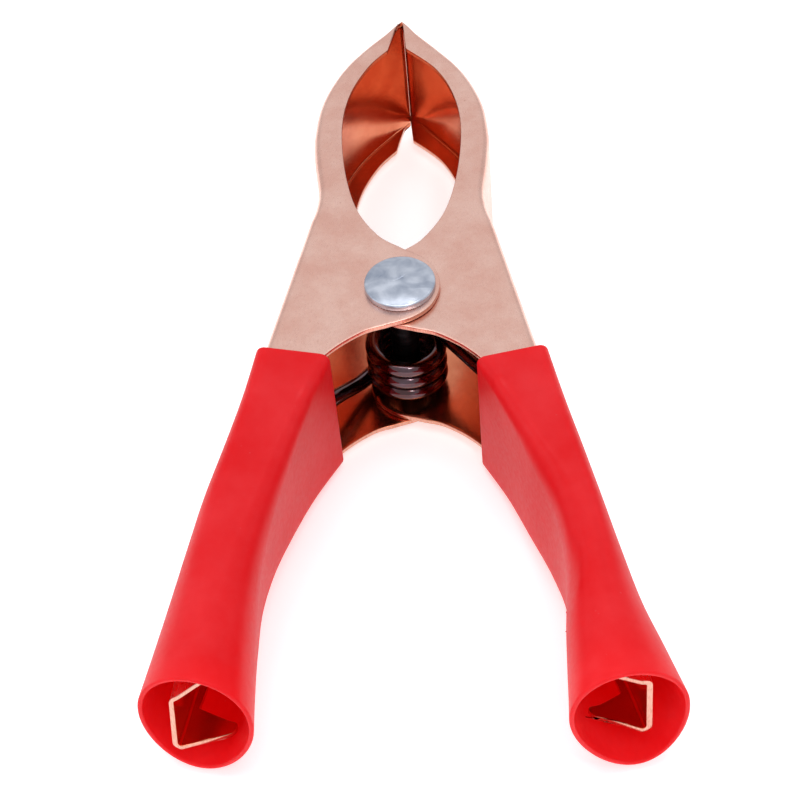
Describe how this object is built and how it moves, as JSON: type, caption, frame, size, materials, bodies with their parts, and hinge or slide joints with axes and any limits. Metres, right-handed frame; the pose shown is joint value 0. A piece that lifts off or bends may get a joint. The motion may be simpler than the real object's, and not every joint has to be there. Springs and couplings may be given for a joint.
{
  "type": "ground clamp",
  "caption": "Spring clamp of pressed copper-plated sheet with nested jaws, a riveted pivot, a torsion spring and soft red grip sleeves.",
  "frame": {"origin": "on the pivot axis, at the flat face of the rivet's rear head, in the plane the clamp lies on", "axes": "+Z along the pivot axis, from the clinched rear head to the domed front head; +Y from the handles to the jaws; +X across, towards the inner lever's handle"},
  "size_m": [0.0536, 0.1012, 0.0193],
  "materials": {
    "copper_plate": "copper-plated pressed steel sheet, satin",
    "rivet_steel": "bright zinc-plated, lightly scuffed",
    "spring_steel": "glossy dark oxblood lacquer over spring wire",
    "red_vinyl": "soft vinyl tube, semi-gloss"
  },
  "bodies": {
    "outer_lever": {"left_jaw_lever": "copper_plate", "pivot_rivet": "rivet_steel", "torsion_spring": "spring_steel", "left_grip_sleeve": "red_vinyl"},
    "inner_lever": {"right_jaw_lever": "copper_plate", "right_grip_sleeve": "red_vinyl"}
  },
  "joints": [
    {"name": "jaw_pivot", "type": "hinge", "parent": "outer_lever", "child": "inner_lever", "pos_m": [0, 0, 0.00953], "axis": [0, 0, -1], "range_deg": [0, 30], "stiffness_Nm_per_rad": 0.3, "springref_deg": -20.05, "deforming": ["torsion_spring"]}
  ]
}
